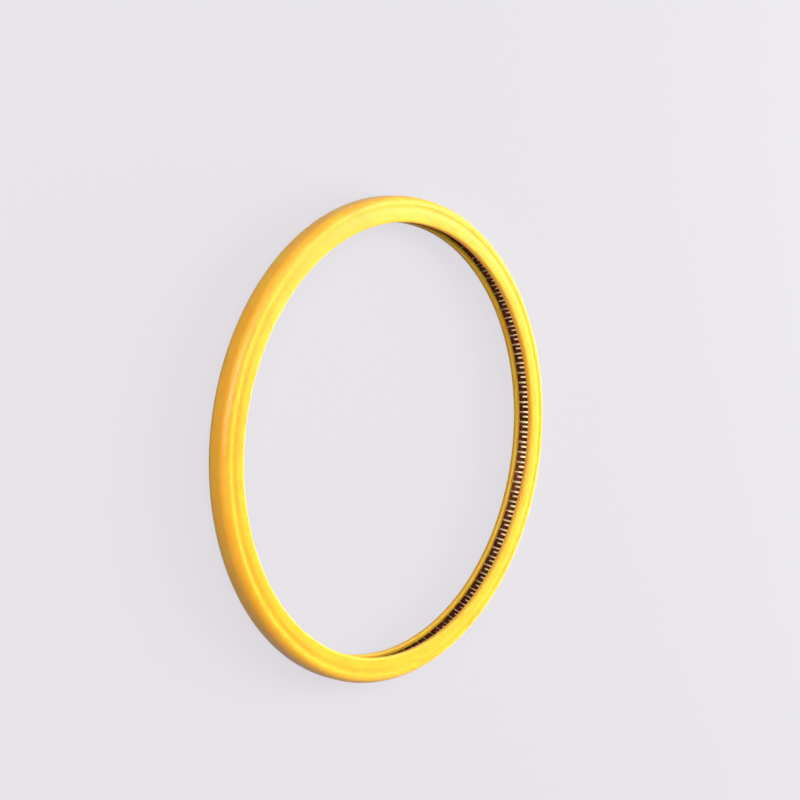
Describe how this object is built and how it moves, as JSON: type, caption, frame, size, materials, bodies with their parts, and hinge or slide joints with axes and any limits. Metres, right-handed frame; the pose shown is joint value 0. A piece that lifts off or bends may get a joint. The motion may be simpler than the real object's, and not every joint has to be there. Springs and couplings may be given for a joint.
{
  "type": "laser window seal ring",
  "caption": "Thin round face seal for a laser head's protective window: a yellow polymer jacket with a C-shaped section open to the bore, and a slotted finger spring in its groove.",
  "frame": {"origin": "centre of the ring, on the plane of the rear sealing bead that it lies on", "axes": "+Z along the ring's axis, from the rear sealing face to the front one; X and Y are alike"},
  "size_m": [0.0348, 0.0348, 0.0018],
  "materials": {
    "jacket": "smooth turned polymer with a soft gloss",
    "spring": "rolled stainless strip, darkened by heat treatment"
  },
  "bodies": {
    "root": {"jacket": "jacket", "spring": "spring"}
  },
  "joints": []
}
